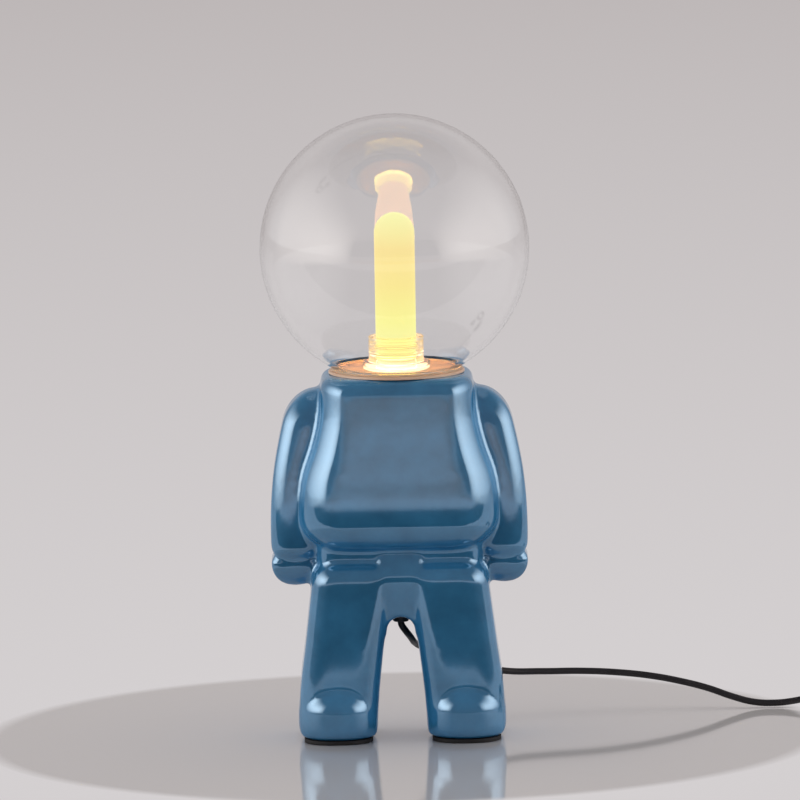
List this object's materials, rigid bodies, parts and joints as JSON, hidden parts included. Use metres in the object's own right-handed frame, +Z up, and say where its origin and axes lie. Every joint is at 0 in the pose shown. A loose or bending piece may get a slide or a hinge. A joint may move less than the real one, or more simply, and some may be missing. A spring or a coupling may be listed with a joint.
{
  "type": "table lamp",
  "caption": "Table lamp: a glazed ceramic astronaut figure whose head is a clear glass globe round a frosted light tube, with a mains lead, rocker switch and plug.",
  "frame": {"origin": "on the table, under the axis of the globe and the neck", "axes": "+Z up the figure, +X to the viewer's right, +Y away from the viewer who faces the figure"},
  "size_m": [0.5722, 0.218, 0.4651],
  "materials": {
    "glaze": "high-gloss pearly steel-blue glaze",
    "pad_rubber": "matt black rubber",
    "plate_metal": "satin aluminium",
    "silicone": "milky soft silicone",
    "clear_glass": "clear blown glass",
    "clear_acrylic": "clear moulded acrylic",
    "frosted_acrylic": "frosted acrylic, lit warm from inside",
    "white_board": "white solder mask",
    "led_phosphor": "yellow phosphor, lit",
    "brass": "turned brass",
    "zinc_steel": "zinc plated steel",
    "white_plastic": "moulded white plastic",
    "green_board": "green solder mask",
    "dark_plastic": "moulded black plastic",
    "red_wire": "wire insulation",
    "cord_pvc": "soft black PVC",
    "switch_plastic": "moulded black plastic",
    "tie_plastic": "grey twist tie",
    "nickel_pins": "nickel plated brass"
  },
  "bodies": {
    "lamp": {"ceramic_body": "glaze", "foot_pad_left": "pad_rubber", "foot_pad_right": "pad_rubber", "neck_plate": "plate_metal", "globe_gasket": "silicone", "tube_holder": "clear_acrylic", "heat_sink": "plate_metal", "led_board": "white_board", "led_chips": "led_phosphor", "threaded_tube": "brass", "bridge_bar": "zinc_steel", "driver_bracket": "zinc_steel", "lock_nut": "brass", "driver_case": "white_plastic", "driver_cover": "white_plastic", "driver_board": "green_board", "driver_parts": "dark_plastic", "driver_screws": "zinc_steel", "led_wires": "red_wire", "inner_cord": "cord_pvc", "cord_gland": "dark_plastic", "gland_nut": "dark_plastic", "cord_run": "cord_pvc", "switch_base": "switch_plastic", "switch_cover": "switch_plastic", "rocker_pin": "zinc_steel", "switch_contacts": "brass", "switch_screws": "zinc_steel", "cord_lead": "cord_pvc", "cord_coil": "cord_pvc", "coil_tie": "tie_plastic", "cord_tail": "cord_pvc", "plug_body": "cord_pvc", "plug_pins": "nickel_pins"},
    "globe": {"glass_globe": "clear_glass"},
    "light_tube": {"diffuser_tube": "frosted_acrylic"},
    "rocker": {"switch_rocker": "switch_plastic"}
  },
  "joints": [
    {"name": "globe_lift", "type": "slide", "parent": "lamp", "child": "globe", "axis": [0, 0, 1], "range_m": [0, 0.122]},
    {"name": "tube_turn", "type": "hinge", "parent": "lamp", "child": "light_tube", "pos_m": [0, 0, 0.29], "axis": [0, 0, 1], "range_deg": [0, 360]},
    {"name": "rocker_tilt", "type": "hinge", "parent": "lamp", "child": "rocker", "pos_m": [0.354, 0.104, 0.0115], "axis": [0, 1, 0], "range_deg": [-18, 0]}
  ]
}
